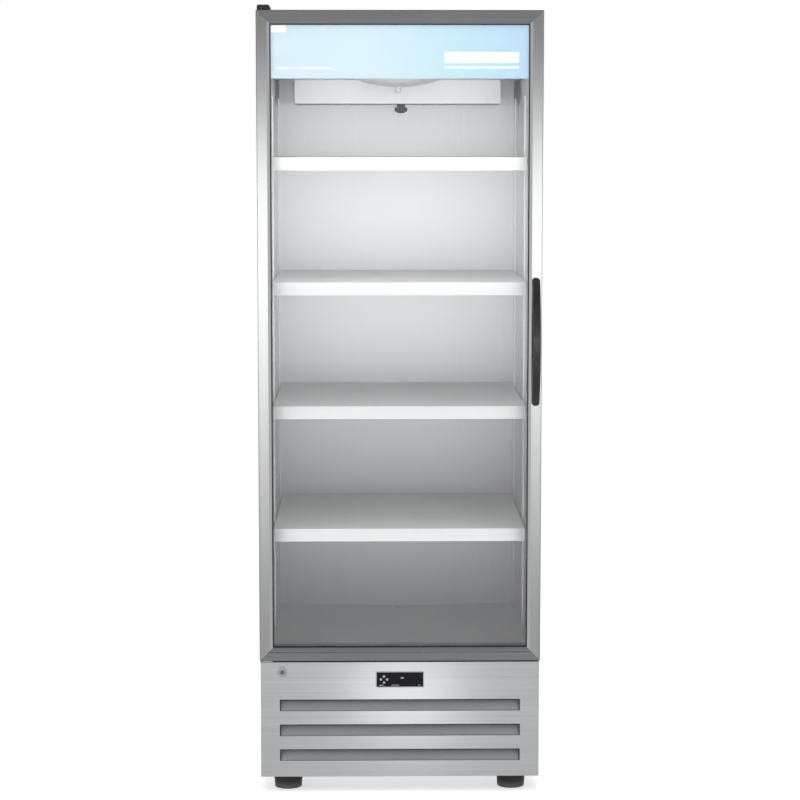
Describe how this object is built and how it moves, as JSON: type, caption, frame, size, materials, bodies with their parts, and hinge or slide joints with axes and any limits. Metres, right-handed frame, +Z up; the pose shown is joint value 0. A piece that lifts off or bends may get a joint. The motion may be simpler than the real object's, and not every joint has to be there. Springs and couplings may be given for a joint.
{
  "type": "reach-in refrigerator",
  "caption": "Upright commercial refrigerator with a hinged glass door, lift-off shelves, lower control panel with louvred air slots, door lock and cooling unit.",
  "frame": {"origin": "on the floor, under the middle of the outline of the whole refrigerator with its handle", "axes": "+Z up, +X to the right of someone who faces the door, +Y from the door to the back"},
  "size_m": [0.72, 0.745, 2.012],
  "materials": {
    "skin_steel": "satin",
    "door_steel": "satin",
    "liner_steel": "satin",
    "galvanised": "matte",
    "foam": "matte",
    "grey_plastic": "matte",
    "black_gloss": "gloss",
    "black_plastic": "matte",
    "shelf_paint": "satin",
    "zinc": "satin",
    "fin_aluminium": "satin",
    "white_plastic": "satin",
    "compressor_paint": "satin",
    "copper": "satin",
    "foot_rubber": "matte",
    "clear_glass": "gloss",
    "seal_rubber": "matte",
    "gasket_rubber": "matte",
    "chrome": "polished",
    "display_black": "gloss",
    "bezel_silver": "satin",
    "louvre_grey": "satin"
  },
  "bodies": {
    "cabinet": {"side_panel_left": "skin_steel", "side_panel_right": "skin_steel", "top_panel": "skin_steel", "back_panel": "galvanised", "wall_foam": "foam", "liner_left": "liner_steel", "liner_right": "liner_steel", "liner_back": "liner_steel", "deck_pan": "liner_steel", "front_frame": "grey_plastic", "front_sill": "black_gloss", "shelf_standards": "liner_steel", "shelf_clips": "zinc", "evaporator_cover": "liner_steel", "evaporator_coil": "fin_aluminium", "evaporator_fan_motor": "black_plastic", "air_duct": "liner_steel", "lamp_dome": "white_plastic", "temperature_probe": "black_plastic", "chassis": "galvanised", "feet": "foot_rubber", "compressor": "compressor_paint", "condenser_coil": "fin_aluminium", "fan_shroud": "galvanised", "condenser_fan_motor": "black_plastic", "refrigerant_lines": "copper", "condensate_drain": "black_plastic", "power_inlet": "black_plastic", "rear_grille": "galvanised", "front_panel": "skin_steel", "louvre_blades": "louvre_grey", "control_housing": "bezel_silver", "display_window": "display_black", "lock_barrel": "chrome", "upper_hinge_bracket": "zinc", "hinge_cap": "black_plastic", "lower_hinge_bracket": "zinc"},
    "door": {"door_stile_left": "door_steel", "door_stile_right": "door_steel", "door_rail_top": "door_steel", "door_rail_bottom": "door_steel", "glazing_gasket": "seal_rubber", "outer_glass": "clear_glass", "inner_glass": "clear_glass", "glass_spacer": "fin_aluminium", "door_inner_frame": "grey_plastic", "door_gasket": "gasket_rubber", "door_handle": "black_gloss", "hinge_bushes": "white_plastic"},
    "evaporator_rotor": {"evaporator_fan_blade": "black_plastic"},
    "condenser_rotor": {"condenser_fan_blade": "fin_aluminium"},
    "lock_cylinder": {"lock_plug": "chrome"},
    "up_key": {"key_up": "bezel_silver"},
    "down_key": {"key_down": "bezel_silver"},
    "left_key": {"key_left": "bezel_silver"},
    "right_key": {"key_right": "bezel_silver"},
    "bottom_shelf": {"shelf_1": "shelf_paint"},
    "lower_shelf": {"shelf_2": "shelf_paint"},
    "upper_shelf": {"shelf_3": "shelf_paint"},
    "top_shelf": {"shelf_4": "shelf_paint"}
  },
  "joints": [
    {"name": "door_hinge", "type": "hinge", "parent": "cabinet", "child": "door", "pos_m": [-0.345, -0.3035, 1.17], "axis": [0, 0, -1], "range_deg": [0, 110]},
    {"name": "lock_turn", "type": "hinge", "parent": "cabinet", "child": "lock_cylinder", "pos_m": [-0.302, -0.31, 0.316], "axis": [0, -1, 0], "range_deg": [0, 90]},
    {"name": "evaporator_fan_spin", "type": "hinge", "parent": "cabinet", "child": "evaporator_rotor", "pos_m": [0, 0.135, 1.893], "axis": [0, 1, 0], "continuous": true},
    {"name": "condenser_fan_spin", "type": "hinge", "parent": "cabinet", "child": "condenser_rotor", "pos_m": [-0.13, -0.16, 0.185], "axis": [0, 1, 0], "continuous": true},
    {"name": "up_key_press", "type": "slide", "parent": "cabinet", "child": "up_key", "axis": [0, 1, 0], "range_m": [0, 0.0006], "stiffness_N_per_m": 1500},
    {"name": "down_key_press", "type": "slide", "parent": "cabinet", "child": "down_key", "axis": [0, 1, 0], "range_m": [0, 0.0006], "stiffness_N_per_m": 1500},
    {"name": "left_key_press", "type": "slide", "parent": "cabinet", "child": "left_key", "axis": [0, 1, 0], "range_m": [0, 0.0006], "stiffness_N_per_m": 1500},
    {"name": "right_key_press", "type": "slide", "parent": "cabinet", "child": "right_key", "axis": [0, 1, 0], "range_m": [0, 0.0006], "stiffness_N_per_m": 1500},
    {"name": "bottom_shelf_lift", "type": "slide", "parent": "cabinet", "child": "bottom_shelf", "axis": [0, 0, 1], "range_m": [0, 0.02]},
    {"name": "lower_shelf_lift", "type": "slide", "parent": "cabinet", "child": "lower_shelf", "axis": [0, 0, 1], "range_m": [0, 0.02]},
    {"name": "upper_shelf_lift", "type": "slide", "parent": "cabinet", "child": "upper_shelf", "axis": [0, 0, 1], "range_m": [0, 0.02]},
    {"name": "top_shelf_lift", "type": "slide", "parent": "cabinet", "child": "top_shelf", "axis": [0, 0, 1], "range_m": [0, 0.02]}
  ]
}
